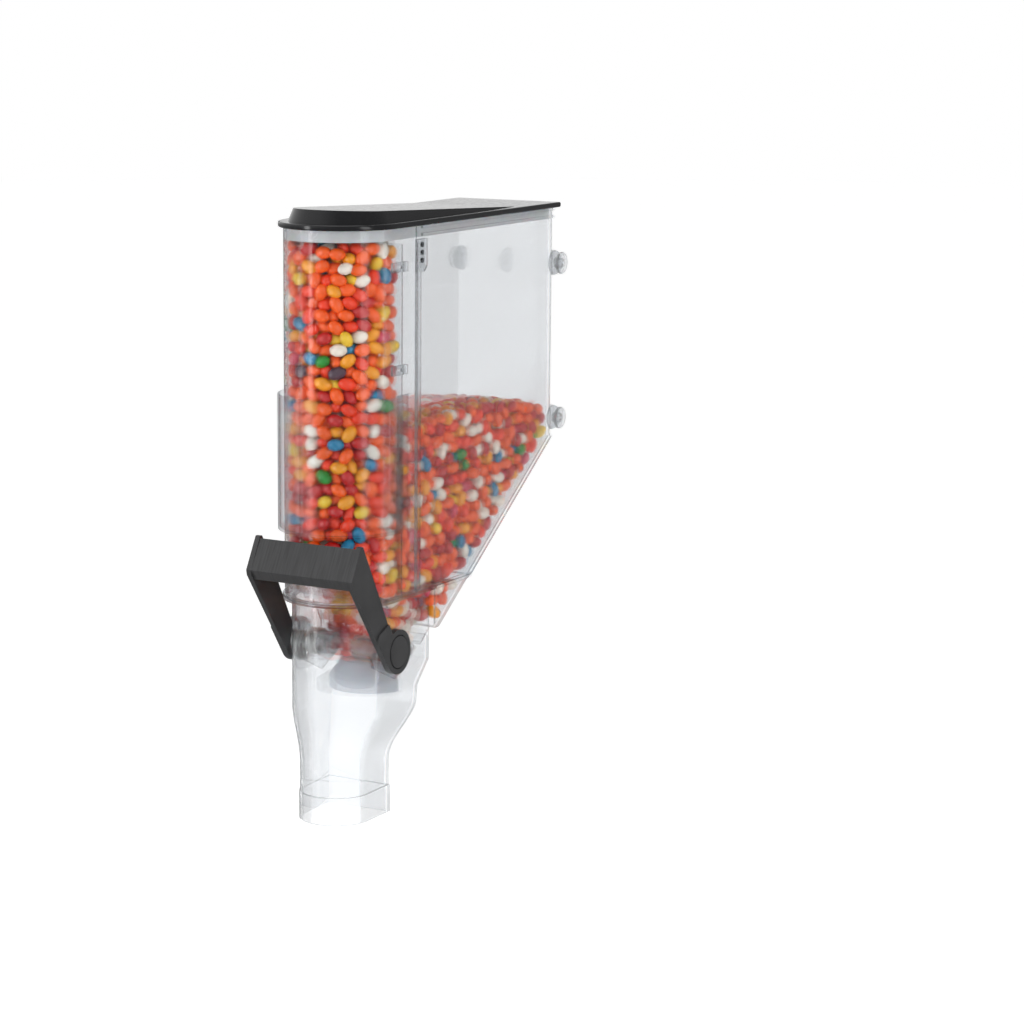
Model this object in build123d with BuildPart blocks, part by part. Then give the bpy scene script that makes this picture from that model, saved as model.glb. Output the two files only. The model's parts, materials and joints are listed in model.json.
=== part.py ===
from build123d import *
from math import atan2, cos, degrees, radians, sqrt, tan
import os

# Gravity bulk food dispenser: a tall clear hopper with a round front, a lift-off lid,
# and a sprung lever that turns a frosted gate above a clear spout.
# Millimetres. +Z is up, the round front faces -Y, and X runs across the width.
# The origin is midway between the four hanging studs at the back.

os.makedirs("parts", exist_ok=True)

# Hopper
hopper_width = 108.0        # outside, across the flat sides
wall = 3.0                  # thickness of the clear walls
bin_length = 306.0          # centre of the round front to the back face
back_y = -3.0               # back face, just in front of the studs' line
rim_z = 132.0               # top edge of the hopper
slope_top_z = -96.0         # where the back wall turns into the sloping floor
slope_angle = 35.0          # sloping floor, from level
flange_z = -209.5           # joint between the hopper and the lower mouldings
flange_lip = 2.0            # how far the joint's lip stands out
flange_lip_height = 2.6
rim_bead = 2.4              # how far the two beads under the rim stand out
rim_bead_height = 2.4
rim_bead_pitch = 7.0
window_length = 42.0        # straight side of the front window, behind its round
corner_radius = 5.0

# Divider between the front column and the storage bin
divider_offset = 18.5       # from the centre of the round front
divider_gap_below_rim = 15.0

# Side rails over the seam of window and bin
rail_width = 7.0
rail_depth = 3.0
tab_width = 18.0
tab_height = 30.0
tab_top_gap = 12.0
rivet_radius = 2.4
rivet_height = 1.2
rivet_pitch = 7.2
rivet_count = 3

# Hanging studs
stud_spacing = 155.0        # upper stud to lower stud
stud_base_radius = 12.0
stud_base_depth = 2.0
stud_neck_radius = 5.0
stud_neck_length = 5.5
stud_head_radius = 10.8
stud_head_depth = 2.6
ear_radius = 12.5
ear_wall = 2.0              # thinner than the wall, clear of the flat of the back

# Lid and its seal
lid_overhang = 4.8          # rim of the lid beyond the hopper wall
lid_rim_height = 5.2
lid_rise = 12.5             # raised panel above the rim at the front
lid_panel_inset = 14.0      # edge of the lid to the edge of the raised panel
lid_fade = 78.0             # the panel meets the rim this far from the back
lid_wall = 2.4
lid_back_reach = 7.0
seal_depth = 11.0
seal_wall = 2.4
seal_clearance = 0.35

# Label holder
holder_standoff = 4.5
holder_wall = 1.5
holder_bottom_z = -146.5
holder_height = 126.0
holder_side_length = 8.0
holder_pad_length = 20.0
holder_lip = 2.0
clip_length = 27.0
clip_height = 9.0
clip_depth = 2.4
clip_heights = (97.0, 3.0, -120.0)
clip_offset = 9.5           # centre of a clip behind the centre of the round front
pad_clip_offset = 18.0      # the same for the two short clips over the holder's pads

# Pivot of the lever and the gate
pivot_y = -305.0
pivot_z = -258.5
shaft_radius = 6.0
running_gap = 0.05
bush_wall = 2.5
boss_radius = 15.0
boss_depth = 4.0
side_gap = 0.6              # lever arm to the boss beside it

# Lower funnel, chute housing and spout
housing_inset = 6.5         # its sides, in from the sides of the hopper
housing_front = 4.0         # centre of its round front, ahead of the pivot
housing_back = 74.0         # back face, behind the pivot
housing_shoulder = 22.0     # below the pivot, where the back starts to draw in
housing_tuck = 43.0         # below the pivot, where it has drawn in
housing_tuck_back = 53.0
housing_waist = 60.0        # below the pivot, where the throat starts
outlet_drop = 8.0           # top of the ramp above the pivot
spout_inset = 14.0          # sides of the spout, in from the sides of the housing
spout_front = 17.0
spout_back = 24.0
throat_steps = (            # below the waist: depth, side in, front in, back in
    (0.0, 0.0, 0.0, 2.0),
    (15.0, 4.5, -4.0, 10.0),
    (32.0, 11.0, -10.0, 22.0),
)
throat_drop = 112.0         # below the pivot, where the spout is straight
collar_drop = 136.0
collar_height = 26.0
collar_step = 0.9
ramp_thickness = 2.5
ramp_end_radius = 60.5      # clear of the gate's sweep

# Inner baffle
baffle_wall = 2.5
baffle_gap = 2.2            # to the gate's yokes on each side
baffle_front = (-60.0, 70.6)  # underside of its floor, from the pivot
baffle_knee = (-4.0, 44.5)
baffle_offset = 13.0        # front face of its wall, behind the pivot
baffle_bend = 17.0
baffle_end = -13.5
baffle_shoulder = 40.0      # narrow below this height above the pivot

# Gate
gate_centre = 41.0          # centre of its round front, behind the pivot
gate_side_gap = 1.2         # its rim to the yokes' plates
gate_taper = 13.0           # the rim's radius less the top's
gate_top_drop = 18.0
gate_skirt_drop = 36.0
gate_bottom_drop = 47.0
gate_wall = 2.2
gate_back = 34.0
gate_apron_radius = 57.5
gate_apron_drop = 9.0
yoke_plate = 3.0
yoke_gap = 3.3              # its plates to the housing's sides
yoke_hub_radius = 10.7
yoke_hub_length = 26.0
yoke_outline = (
    (-18.5, -4.0), (-17.0, -14.0), (20.0, -32.0), (36.0, -24.0), (56.0, -8.0), (44.0, 2.0), (2.0, 10.0),
)
peg_radius = 2.0            # peg on the left yoke that bears on the spring
peg_length = 4.0
peg_drop = 9.0

# Return spring round the shaft
spring_wire = 1.6
spring_clearance = 0.4      # to the hub that it is wound on
spring_pitch = 2.4
spring_turns = 4.5
spring_leg = 12.0

# Lever
arm_thickness = 5.0
arm_step = 1.6              # the arm is thicker beside its hub
hub_radius = 21.0
cap_radius = 15.2
cap_gap = 0.9
cap_recess = 2.2
cap_proud = 0.8
screw_head_radius = 4.6
screw_head_height = 1.8
screw_shank_radius = 2.1
screw_length = 12.0
shaft_seat = 1.6            # how far the shaft enters each hub
bar_top = (-64.0, 106.5)    # front top edge, from the pivot
bar_low = (-80.0, 79.0)     # front low edge
bar_tuck = (-73.5, 69.5)    # edge of the underside
bar_wall = 4.2
arm_rise = 2.0              # the arms stand this far above the bar
arm_shoulder = 3.5
arm_root = (-17.2, -12.0)   # where the front edge meets the hub
arm_back = (-12.5, 21.2)    # low end of the rear edge
arm_foot = ((-17.0, 29.0), (-34.5, 22.0), (-37.5, 17.0))  # top of the thicker foot

half_width = hopper_width / 2
inner_half = half_width - wall
front_y = back_y - bin_length
seam_y = front_y + window_length
stud_z = stud_spacing / 2
slope = tan(radians(slope_angle))
foot_y = back_y - (slope_top_z - flange_z) / slope
housing_half = half_width - housing_inset
housing_inner = housing_half - wall
spout_half = housing_half - spout_inset
yoke_x = housing_inner - yoke_gap - yoke_plate
baffle_half_width = yoke_x - baffle_gap
gate_radius = yoke_x - gate_side_gap
gate_top_radius = gate_radius - gate_taper
housing_centre_y = pivot_y - housing_front
housing_back_y = pivot_y + housing_back
arm_inner_x = housing_half + boss_depth + side_gap
arm_outer_x = arm_inner_x + arm_thickness
hub_outer_x = arm_outer_x + arm_step
bush_radius = shaft_radius + running_gap + bush_wall


def u_outline(half, centre, back, mode=Mode.ADD):
    """A flat-backed outline with a half-round front."""
    with BuildLine() as outline:
        Line((-half, back), (-half, centre))
        ThreePointArc((-half, centre), (0, centre - half), (half, centre))
        Line((half, centre), (half, back))
        Line((half, back), (-half, back))
    make_face(outline.edges(), mode=mode)


def side_plane(x):
    """The plane across X whose sketch axes are Y and Z."""
    return Plane(origin=(x, 0, 0), x_dir=(0, 1, 0), z_dir=(1, 0, 0))


def pivot_plane(x):
    """The same plane with its centre on the pivot."""
    return Plane(origin=(x, pivot_y, pivot_z), x_dir=(0, 1, 0), z_dir=(1, 0, 0))


def bent_strip(points, thickness):
    """A strip bent through the points, with its thickness on their left."""
    corners = [Vector(*point) for point in points]
    runs = [(after - before).normalized() for before, after in zip(corners, corners[1:])]
    offsets = []
    for index, corner in enumerate(corners):
        run_in = runs[max(index - 1, 0)]
        run_out = runs[min(index, len(runs) - 1)]
        middle = (run_in + run_out).normalized()
        left = Vector(-middle.Y, middle.X)
        offsets.append(corner + left * (thickness / middle.dot(run_in)))
    with BuildLine() as outline:
        Polyline(*corners, *reversed(offsets), close=True)
    make_face(outline.edges())


def finish(part, name):
    part.label = name
    export_step(part, "parts/" + name + ".step")


# Front window: the clear U that shows the goods
with BuildPart() as front_window:
    with BuildSketch(Plane.XY.offset(flange_z)):
        u_outline(half_width, front_y, seam_y)
        u_outline(inner_half, front_y, seam_y, mode=Mode.SUBTRACT)
    extrude(amount=rim_z - flange_z)
    with BuildSketch(Plane.XY.offset(flange_z)):
        u_outline(half_width + flange_lip, front_y, seam_y)
        u_outline(inner_half, front_y, seam_y, mode=Mode.SUBTRACT)
    extrude(amount=flange_lip_height)
finish(front_window.part, "front_window")

# Rear bin: flat sides, back wall and sloping floor
floor_drop = wall / cos(radians(slope_angle))
inner_top_z = slope_top_z - wall * slope + floor_drop
inner_foot_y = foot_y - floor_drop / slope
with BuildPart() as rear_bin:
    with BuildSketch(side_plane(-half_width)):
        with BuildLine():
            Polyline(
                (seam_y, flange_z),
                (foot_y, flange_z),
                (back_y, slope_top_z),
                (back_y, rim_z),
                (seam_y, rim_z),
                close=True,
            )
        make_face()
    extrude(amount=hopper_width)
    with BuildSketch(side_plane(-inner_half)):
        with BuildLine():
            Polyline(
                (seam_y, flange_z),
                (inner_foot_y, flange_z),
                (back_y - wall, inner_top_z),
                (back_y - wall, rim_z),
                (seam_y, rim_z),
                close=True,
            )
        make_face()
    extrude(amount=2 * inner_half, mode=Mode.SUBTRACT)
    upright = rear_bin.edges().filter_by(Axis.Z).sort_by(Axis.Y)[-2:]
    fillet(upright, radius=wall - 0.6)
    for side in (-1, 1):
        ear_x = half_width - ear_wall if side > 0 else -half_width
        # Ears that carry the studs
        with BuildSketch(side_plane(ear_x)):
            with Locations((0, stud_z), (0, -stud_z)):
                Circle(ear_radius)
        extrude(amount=ear_wall)
        # Beads under the rim
        bead_x = half_width if side > 0 else -half_width - rim_bead
        for row in range(2):
            bead_z = rim_z - rim_bead_height / 2 - row * rim_bead_pitch
            with BuildSketch(side_plane(bead_x)):
                with Locations(((seam_y + rail_width + back_y) / 2, bead_z)):
                    Rectangle(back_y - seam_y - rail_width, rim_bead_height)
            extrude(amount=rim_bead)
        # Lip along the joint and up the sloping floor
        lip_x = half_width if side > 0 else -half_width - flange_lip
        with BuildSketch(side_plane(lip_x)):
            with BuildLine():
                Polyline(
                    (seam_y, flange_z),
                    (foot_y, flange_z),
                    (back_y, slope_top_z),
                    (back_y, slope_top_z + flange_lip_height / cos(radians(slope_angle))),
                    (foot_y - flange_lip_height * tan(radians(slope_angle / 2)), flange_z + flange_lip_height),
                    (seam_y, flange_z + flange_lip_height),
                    close=True,
                )
            make_face()
        extrude(amount=flange_lip)
finish(rear_bin.part, "rear_bin")

# Divider panel
divider_y = front_y + divider_offset
with BuildPart() as divider_panel:
    with BuildSketch(Plane.XY.offset(flange_z)):
        with Locations((0, divider_y)):
            Rectangle(2 * inner_half, wall)
    extrude(amount=rim_z - divider_gap_below_rim - flange_z)
finish(divider_panel.part, "divider_panel")

# Rails over the side seams, each with a tab and its rivets
rail_x = {"right": half_width, "left": -half_width - rail_depth}
tab_top_z = rim_z - tab_top_gap
rail_bottom_z = flange_z + flange_lip_height
for side, x in rail_x.items():
    with BuildPart() as seam_rail:
        with BuildSketch(side_plane(x)):
            with Locations((seam_y, (tab_top_z + rail_bottom_z) / 2)):
                Rectangle(rail_width, tab_top_z - rail_bottom_z)
            with BuildLine():
                Polyline(
                    (seam_y - rail_width / 2, tab_top_z),
                    (seam_y - rail_width / 2, tab_top_z - tab_height),
                    (seam_y - rail_width / 2 + tab_width - corner_radius, tab_top_z - tab_height),
                    (seam_y - rail_width / 2 + tab_width, tab_top_z - tab_height + corner_radius),
                    (seam_y - rail_width / 2 + tab_width, tab_top_z),
                    close=True,
                )
            make_face()
        extrude(amount=rail_depth)
    finish(seam_rail.part, "seam_rail_" + side)

    rivet_x = half_width + rail_depth if side == "right" else -half_width - rail_depth - rivet_height
    rivet_y = seam_y - rail_width / 2 + tab_width / 2 - 2.0
    with BuildPart() as tab_rivets:
        with BuildSketch(side_plane(rivet_x)):
            for row in range(rivet_count):
                with Locations((rivet_y, tab_top_z - (row + 0.7) * rivet_pitch)):
                    Circle(rivet_radius)
        extrude(amount=rivet_height)
    finish(tab_rivets.part, "tab_rivets_" + side)

# Hanging studs: base, neck and head
for side_name, side in (("right", 1), ("left", -1)):
    for level_name, level in (("upper", 1), ("lower", -1)):
        with BuildPart() as stud:
            reach = half_width
            for radius, depth in (
                (stud_base_radius, stud_base_depth),
                (stud_neck_radius, stud_neck_length),
                (stud_head_radius, stud_head_depth),
            ):
                start_x = reach if side > 0 else -reach - depth
                with BuildSketch(side_plane(start_x)):
                    with Locations((0, level * stud_z)):
                        Circle(radius)
                extrude(amount=depth)
                reach += depth
            outer_rim = stud.edges().filter_by(GeomType.CIRCLE).sort_by(Axis.X)
            fillet(outer_rim[-1] if side > 0 else outer_rim[0], radius=1.0)
        finish(stud.part, "stud_" + level_name + "_" + side_name)

# Lid: a rim with a raised panel that dies away towards the back
lid_half = half_width + lid_overhang
lid_back_y = back_y + lid_back_reach
panel_half = lid_half - lid_panel_inset
panel_back_y = lid_back_y - lid_fade
lid_base_z = rim_z + 0.3
lid_top_z = lid_base_z + lid_rim_height
panel_root_z = lid_top_z - 0.5
with BuildPart() as lid_panel:
    with BuildSketch(Plane.XY.offset(panel_root_z)):
        u_outline(panel_half + 5.0, front_y, panel_back_y)
    extrude(amount=lid_top_z + lid_rise - panel_root_z, taper=22.0)
    # Cut by a sloping plane, so that the panel dies away towards the back
    with BuildSketch(side_plane(-lid_half)):
        with BuildLine():
            Polyline(
                (front_y - lid_half, lid_top_z + lid_rise),
                (front_y - panel_half, lid_top_z + lid_rise),
                (panel_back_y, lid_top_z),
                (panel_back_y + 1.0, lid_top_z + 2 * lid_rise),
                (front_y - lid_half, lid_top_z + 2 * lid_rise),
                close=True,
            )
        make_face()
    extrude(amount=2 * lid_half, mode=Mode.SUBTRACT)
with BuildPart() as lid:
    with BuildSketch(Plane.XY.offset(lid_base_z)):
        u_outline(lid_half, front_y, lid_back_y)
    extrude(amount=lid_rim_height)
    rim_edges = lid.edges().filter_by(Plane.XY)
    fillet(rim_edges, radius=1.6)
    add(lid_panel.part)
    # Hollow underside
    with BuildSketch(Plane.XY.offset(lid_base_z)):
        u_outline(inner_half - seal_wall - 4.0, front_y, back_y - wall - seal_wall - 4.0)
    extrude(amount=lid_rim_height - lid_wall, mode=Mode.SUBTRACT)
finish(lid.part, "lid")

# Seal: a translucent skirt under the lid, inside the hopper's mouth
seal_half = inner_half - seal_clearance
seal_back_y = back_y - wall - seal_clearance
with BuildPart() as lid_seal:
    with BuildSketch(Plane.XY.offset(lid_base_z - seal_depth)):
        u_outline(seal_half, front_y, seal_back_y)
        u_outline(seal_half - seal_wall, front_y, seal_back_y - seal_wall, mode=Mode.SUBTRACT)
    extrude(amount=seal_depth)
finish(lid_seal.part, "lid_seal")

# Label holder: a clear sleeve that stands off the window
holder_inner = half_width + holder_standoff
holder_outer = holder_inner + holder_wall
holder_end_y = front_y + holder_side_length
with BuildPart() as label_holder:
    with BuildSketch(Plane.XY.offset(holder_bottom_z)):
        u_outline(holder_outer, front_y, holder_end_y)
        u_outline(holder_inner, front_y, holder_end_y, mode=Mode.SUBTRACT)
        for side in (-1, 1):
            with Locations((side * (half_width + holder_outer) / 2, holder_end_y - holder_wall / 2)):
                Rectangle(holder_outer - half_width, holder_wall)
            with Locations((side * (half_width + holder_wall / 2), holder_end_y + holder_pad_length / 2)):
                Rectangle(holder_wall, holder_pad_length)
    extrude(amount=holder_height)
    with BuildSketch(Plane.XY.offset(holder_bottom_z)):
        u_outline(holder_outer, front_y, holder_end_y)
        u_outline(half_width, front_y, holder_end_y, mode=Mode.SUBTRACT)
    extrude(amount=holder_lip)
finish(label_holder.part, "label_holder")

# Clips that hold the label holder's pads and guide it on each side
with BuildPart() as label_clips:
    for side in (-1, 1):
        clip_x = half_width if side > 0 else -half_width - clip_depth
        for height in clip_heights:
            over_pad = holder_bottom_z < height < holder_bottom_z + holder_height
            lift = holder_wall if over_pad else 0.0
            with BuildSketch(side_plane(clip_x + side * lift)):
                with Locations((front_y + (pad_clip_offset if over_pad else clip_offset), height)):
                    RectangleRounded(clip_length / (2 if over_pad else 1), clip_height, 1.5)
                    Rectangle(clip_length / 4, clip_height / 3, mode=Mode.SUBTRACT)
            extrude(amount=clip_depth)
finish(label_clips.part, "label_clips")

# Lower funnel: the wedge that carries the sloping floor down to the chute
outlet_z = pivot_z + outlet_drop
outlet_y = foot_y - (flange_z - outlet_z) / slope
with BuildPart() as lower_funnel:
    with BuildSketch(side_plane(-half_width)):
        with BuildLine():
            Polyline(
                (housing_back_y, outlet_z),
                (outlet_y, outlet_z),
                (foot_y, flange_z),
                (housing_back_y, flange_z),
                close=True,
            )
        make_face()
    extrude(amount=hopper_width)
    with BuildSketch(side_plane(-inner_half)):
        with BuildLine():
            Polyline(
                (housing_back_y, outlet_z),
                (outlet_y - floor_drop / slope, outlet_z),
                (inner_foot_y, flange_z),
                (housing_back_y, flange_z),
                close=True,
            )
        make_face()
    extrude(amount=2 * inner_half, mode=Mode.SUBTRACT)
    # Front cheeks close the step from the hopper's width to the housing's
    for side in (-1, 1):
        with BuildSketch(Plane.XY.offset(outlet_z)):
            with Locations((side * (housing_inner + half_width) / 2, housing_back_y + wall / 2)):
                Rectangle(half_width - housing_inner, wall)
        extrude(amount=flange_z - outlet_z)
        lip_x = half_width if side > 0 else -half_width - flange_lip
        with BuildSketch(side_plane(lip_x)):
            with Locations(((housing_back_y + foot_y) / 2, flange_z - flange_lip_height / 2)):
                Rectangle(foot_y - housing_back_y, flange_lip_height)
        extrude(amount=flange_lip)
finish(lower_funnel.part, "lower_funnel")

# Deck: the flat shoulder that joins the hopper to the narrower housing
with BuildPart() as hopper_deck:
    with BuildSketch(Plane.XY.offset(flange_z - flange_lip_height)):
        u_outline(half_width + flange_lip, front_y, housing_back_y)
        u_outline(housing_inner, housing_centre_y, housing_back_y, mode=Mode.SUBTRACT)
    extrude(amount=flange_lip_height)
finish(hopper_deck.part, "hopper_deck")

# Chute housing: straight beside the gate, drawn in to the spout
throat = [
    (housing_waist + depth, housing_half - side_in, housing_front - front_in, housing_tuck_back - back_in)
    for depth, side_in, front_in, back_in in throat_steps
]
throat.append((throat_drop, spout_half, spout_front, spout_back))


def housing_solid(inset, top_drop, end_drop):
    """The housing's outline from the deck to the spout, drawn in by the inset."""
    shoulder = (housing_shoulder, housing_half, housing_front, housing_back)
    tuck = (housing_tuck, housing_half, housing_front, housing_tuck_back)
    with BuildPart() as solid:
        with BuildSketch(Plane.XY.offset(pivot_z - housing_shoulder)):
            u_outline(housing_half - inset, housing_centre_y, housing_back_y - inset)
        extrude(amount=housing_shoulder - top_drop)
        for span in ((shoulder, tuck), (tuck, throat[0]), throat):
            for drop, half, front, back in span:
                with BuildSketch(Plane.XY.offset(pivot_z - drop)):
                    u_outline(half - inset, pivot_y - front, pivot_y + back - inset)
            loft(ruled=len(span) == 2)
        with BuildSketch(Plane.XY.offset(pivot_z - throat_drop)):
            u_outline(spout_half - inset, pivot_y - spout_front, pivot_y + spout_back - inset)
        extrude(amount=throat_drop - end_drop)
    return solid.part


deck_drop = pivot_z - flange_z + flange_lip_height
way_in_low = outlet_z - 3 * ramp_thickness
housing_outer = housing_solid(0.0, deck_drop, collar_drop)
housing_void = housing_solid(wall, deck_drop - 1.0, collar_drop + 1.0)
with BuildPart() as chute_housing:
    add(housing_outer)
    for side in (-1, 1):
        boss_x = housing_half - 1.0 if side > 0 else -housing_half - boss_depth
        with BuildSketch(pivot_plane(boss_x)):
            Circle(boss_radius)
        extrude(amount=boss_depth + 1.0)
    add(housing_void, mode=Mode.SUBTRACT)
    # Bore for the bushes
    with BuildSketch(pivot_plane(-half_width - boss_depth)):
        Circle(bush_radius)
    extrude(amount=hopper_width + 2 * boss_depth, mode=Mode.SUBTRACT)
    # Way in for the goods from the lower funnel
    with BuildSketch(Plane.XY.offset(way_in_low)):
        with Locations((0, housing_back_y - wall / 2)):
            Rectangle(2 * housing_inner, wall + 2.0)
    extrude(amount=flange_z - way_in_low, mode=Mode.SUBTRACT)
finish(chute_housing.part, "chute_housing")

# Spout collar
with BuildPart() as spout_collar:
    with BuildSketch(Plane.XY.offset(pivot_z - collar_drop - collar_height)):
        u_outline(spout_half + collar_step, pivot_y - spout_front, pivot_y + spout_back + collar_step)
        u_outline(spout_half - wall + collar_step, pivot_y - spout_front, pivot_y + spout_back - wall + collar_step,
                  mode=Mode.SUBTRACT)
    extrude(amount=collar_height)
finish(spout_collar.part, "spout_collar")

# Ramp: carries the sloping floor on inside the housing, up to the gate's sweep
ramp_rise = outlet_z - pivot_z - slope * (outlet_y - floor_drop / slope - pivot_y)


def ramp_end(drop):
    """Where a line below the ramp's top meets the circle that clears the gate."""
    rise = ramp_rise - drop
    a = 1 + slope ** 2
    b = 2 * slope * rise
    c = rise ** 2 - ramp_end_radius ** 2
    y = (-b + sqrt(b ** 2 - 4 * a * c)) / (2 * a)
    return (y, slope * y + rise)


ramp_drop = ramp_thickness / cos(radians(slope_angle))
ramp_start = outlet_y - floor_drop / slope - pivot_y
with BuildPart() as outlet_ramp:
    with BuildSketch(pivot_plane(-housing_inner)):
        with BuildLine():
            Polyline(
                (ramp_start, slope * ramp_start + ramp_rise),
                ramp_end(0.0),
                ramp_end(ramp_drop),
                (ramp_start, slope * ramp_start + ramp_rise - ramp_drop),
                close=True,
            )
        make_face()
    extrude(amount=2 * housing_inner)
finish(outlet_ramp.part, "outlet_ramp")

# Baffle: a shallow floor under the front column, then a wall between goods and shaft
with BuildPart() as baffle_room:
    with BuildSketch(Plane.XY.offset(flange_z)):
        u_outline(inner_half, front_y, divider_y - wall / 2)
    extrude(amount=rim_z - flange_z)
    with BuildSketch(Plane.XY.offset(pivot_z + baffle_shoulder)):
        u_outline(housing_inner, housing_centre_y, housing_back_y)
    extrude(amount=flange_z - pivot_z - baffle_shoulder)
    with BuildSketch(Plane.XY.offset(pivot_z + baffle_end - wall)):
        with Locations((0, pivot_y)):
            Rectangle(2 * baffle_half_width, 2 * housing_half)
    extrude(amount=baffle_shoulder - baffle_end + wall)
with BuildPart() as front_baffle:
    with BuildSketch(pivot_plane(-half_width)):
        bent_strip(
            (
                (baffle_front[0], baffle_front[1]),
                (baffle_knee[0], baffle_knee[1]),
                (baffle_offset, baffle_bend),
                (baffle_offset, baffle_end),
            ),
            baffle_wall,
        )
    extrude(amount=hopper_width)
    add(baffle_room.part, mode=Mode.INTERSECT)
finish(front_baffle.part, "front_baffle")

# Gate: a frosted half bell with an apron that meets the ramp
with BuildPart() as gate_bowl:
    bell_plane = Plane(origin=(0, pivot_y + gate_centre, pivot_z), x_dir=(1, 0, 0), z_dir=(0, -1, 0))
    bell_axis = Axis((0, pivot_y + gate_centre, pivot_z), (0, 0, 1))
    with BuildSketch(bell_plane):
        with BuildLine():
            Polyline(
                (0, -gate_top_drop),
                (gate_top_radius, -gate_top_drop),
                (gate_radius, -gate_skirt_drop),
                (gate_radius, -gate_bottom_drop),
                (0, -gate_bottom_drop),
                close=True,
            )
        make_face()
    revolve(axis=bell_axis)
    with BuildSketch(bell_plane):
        with BuildLine():
            Polyline(
                (0, -gate_top_drop - gate_wall),
                (gate_top_radius - gate_wall / 2, -gate_top_drop - gate_wall),
                (gate_radius - gate_wall, -gate_skirt_drop - gate_wall / 2),
                (gate_radius - gate_wall, -gate_bottom_drop),
                (0, -gate_bottom_drop),
                close=True,
            )
        make_face()
    revolve(axis=bell_axis, mode=Mode.SUBTRACT)
    with BuildSketch(Plane.XY.offset(pivot_z - gate_bottom_drop)):
        with Locations((0, pivot_y + gate_back + gate_radius)):
            Rectangle(4 * gate_radius, 2 * gate_radius)
    extrude(amount=gate_bottom_drop, mode=Mode.SUBTRACT)
    # Back wall, inside the bell's outline
    with BuildSketch(Plane.XZ.offset(-(pivot_y + gate_back))):
        with BuildLine():
            Polyline(
                (-gate_top_radius + 1.0, pivot_z - gate_top_drop - gate_wall / 2),
                (gate_top_radius - 1.0, pivot_z - gate_top_drop - gate_wall / 2),
                (gate_radius - 2.0, pivot_z - gate_skirt_drop),
                (gate_radius - 2.0, pivot_z - gate_bottom_drop),
                (-gate_radius + 2.0, pivot_z - gate_bottom_drop),
                (-gate_radius + 2.0, pivot_z - gate_skirt_drop),
                close=True,
            )
        make_face()
    extrude(amount=gate_wall)
    # Apron
    apron_y = sqrt(gate_apron_radius ** 2 - gate_apron_drop ** 2)
    with BuildSketch(pivot_plane(-yoke_x)):
        with BuildLine():
            Polyline(
                (gate_back - gate_wall, -gate_top_drop),
                (apron_y, -gate_apron_drop),
                (apron_y - 0.8, -gate_apron_drop - gate_wall),
                (gate_back - gate_wall, -gate_top_drop - gate_wall),
                close=True,
            )
        make_face()
    extrude(amount=2 * yoke_x)
finish(gate_bowl.part, "gate_bowl")

# Yokes: clear plates that carry the gate on the shaft
spring_radius = yoke_hub_radius + spring_clearance + spring_wire / 2
peg_offset = -spring_radius - spring_wire / 2 - spring_clearance - peg_radius
for side_name, side in (("right", 1), ("left", -1)):
    with BuildPart() as gate_yoke:
        plate_x = yoke_x if side > 0 else -yoke_x - yoke_plate
        with BuildSketch(pivot_plane(plate_x)):
            Circle(yoke_hub_radius + 1.8)
            with BuildLine():
                Polyline(*yoke_outline, close=True)
            make_face()
        extrude(amount=yoke_plate)
        hub_x = yoke_x - yoke_hub_length if side > 0 else -yoke_x
        with BuildSketch(pivot_plane(hub_x)):
            Circle(yoke_hub_radius)
        extrude(amount=yoke_hub_length)
        with BuildSketch(pivot_plane(-half_width)):
            Circle(shaft_radius + running_gap)
        extrude(amount=hopper_width, mode=Mode.SUBTRACT)
        if side_name == "left":
            with BuildSketch(pivot_plane(-yoke_x)):
                with Locations((peg_offset, -peg_drop)):
                    Circle(peg_radius)
            extrude(amount=peg_length)
    finish(gate_yoke.part, "gate_yoke_" + side_name)

# Shaft, tapped at both ends for the lever's screws
shaft_half = arm_inner_x + shaft_seat
with BuildPart() as gate_shaft:
    with BuildSketch(pivot_plane(-shaft_half)):
        Circle(shaft_radius)
    extrude(amount=2 * shaft_half)
    for side in (-1, 1):
        hole_x = shaft_half - screw_length if side > 0 else -shaft_half
        with BuildSketch(pivot_plane(hole_x)):
            Circle(screw_shank_radius + running_gap)
        extrude(amount=screw_length, mode=Mode.SUBTRACT)
finish(gate_shaft.part, "gate_shaft")

# Bushes in the housing's bosses
for side_name, side in (("right", 1), ("left", -1)):
    with BuildPart() as pivot_bush:
        bush_x = housing_inner if side > 0 else -housing_half - boss_depth
        with BuildSketch(pivot_plane(bush_x)):
            Circle(bush_radius - running_gap)
            Circle(shaft_radius + running_gap, mode=Mode.SUBTRACT)
        extrude(amount=wall + boss_depth)
    finish(pivot_bush.part, "pivot_bush_" + side_name)

# Return spring round the left yoke's hub: one leg bears on the baffle, the other on the peg
spring_x = -yoke_x + spring_wire + spring_pitch * spring_turns
with BuildPart() as return_spring:
    with BuildLine() as spring_path:
        loose_coil = Helix(
            pitch=spring_pitch,
            height=spring_pitch * spring_turns,
            radius=spring_radius,
            center=(spring_x, pivot_y, pivot_z),
            direction=(-1, 0, 0),
            lefthand=True,
            mode=Mode.PRIVATE,
        )
        start_turn = degrees(atan2((loose_coil @ 0).Z - pivot_z, (loose_coil @ 0).Y - pivot_y))
        coil = loose_coil.rotate(Axis((0, pivot_y, pivot_z), (1, 0, 0)), -start_turn)
        add(coil)
        Line(coil @ 0 - (coil % 0) * spring_leg, coil @ 0)
        Line(coil @ 1, coil @ 1 + (coil % 1) * spring_leg)
    path = spring_path.wires()[0]
    with BuildSketch(Plane(origin=path @ 0, z_dir=path % 0)):
        Circle(spring_wire / 2)
    sweep(path=path)
finish(return_spring.part, "return_spring")
steps = 240
turn_points = [coil @ (index / steps) for index in range(steps + 1)]
per_turn = int(steps / spring_turns)
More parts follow.
